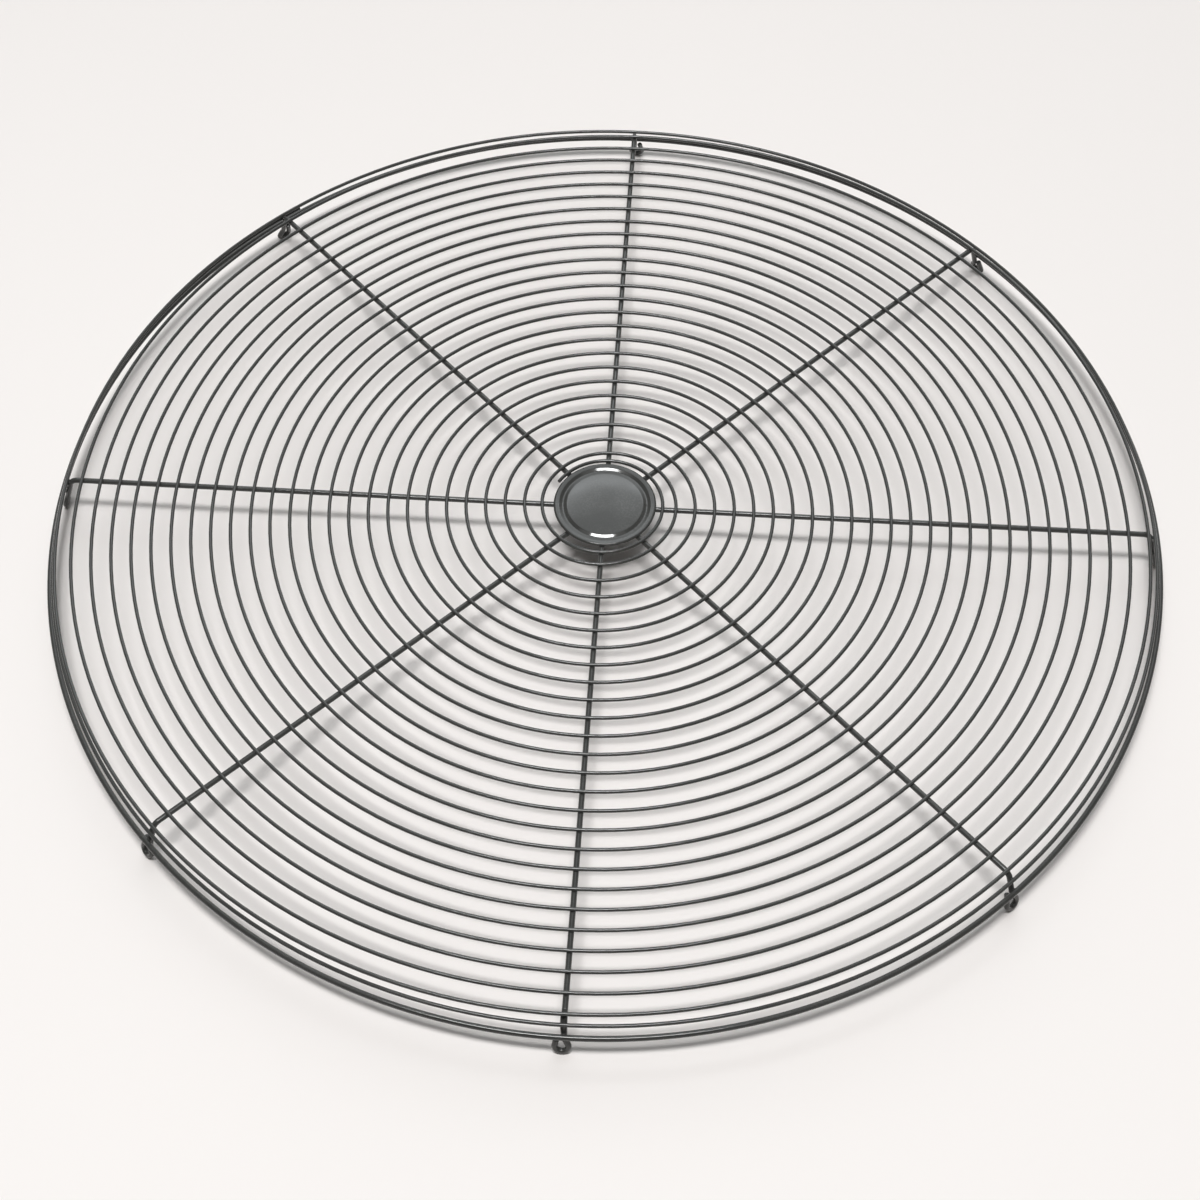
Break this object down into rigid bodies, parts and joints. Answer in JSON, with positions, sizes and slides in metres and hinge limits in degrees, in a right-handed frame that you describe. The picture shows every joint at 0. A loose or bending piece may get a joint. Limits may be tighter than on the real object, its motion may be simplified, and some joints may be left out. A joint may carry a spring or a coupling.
{
  "type": "wire fan guard",
  "caption": "Shallow round guard of spiral wire on bent stay wires with fixing eyes, a rim wire and a pressed cover in the middle.",
  "frame": {"origin": "middle of the mounting face, the plane on which the feet of the wire eyes stand", "axes": "+Z out of the fan, away from the mounting face; +X along the first stay"},
  "size_m": [0.9214, 0.9214, 0.0415],
  "materials": {
    "grey_enamel": "satin dark grey stove enamel on steel wire and sheet"
  },
  "bodies": {
    "root": {"spiral_wire": "grey_enamel", "rim_wire": "grey_enamel", "stay_1": "grey_enamel", "stay_2": "grey_enamel", "stay_3": "grey_enamel", "stay_4": "grey_enamel", "stay_5": "grey_enamel", "stay_6": "grey_enamel", "stay_7": "grey_enamel", "stay_8": "grey_enamel", "hub_cover": "grey_enamel"}
  },
  "joints": []
}
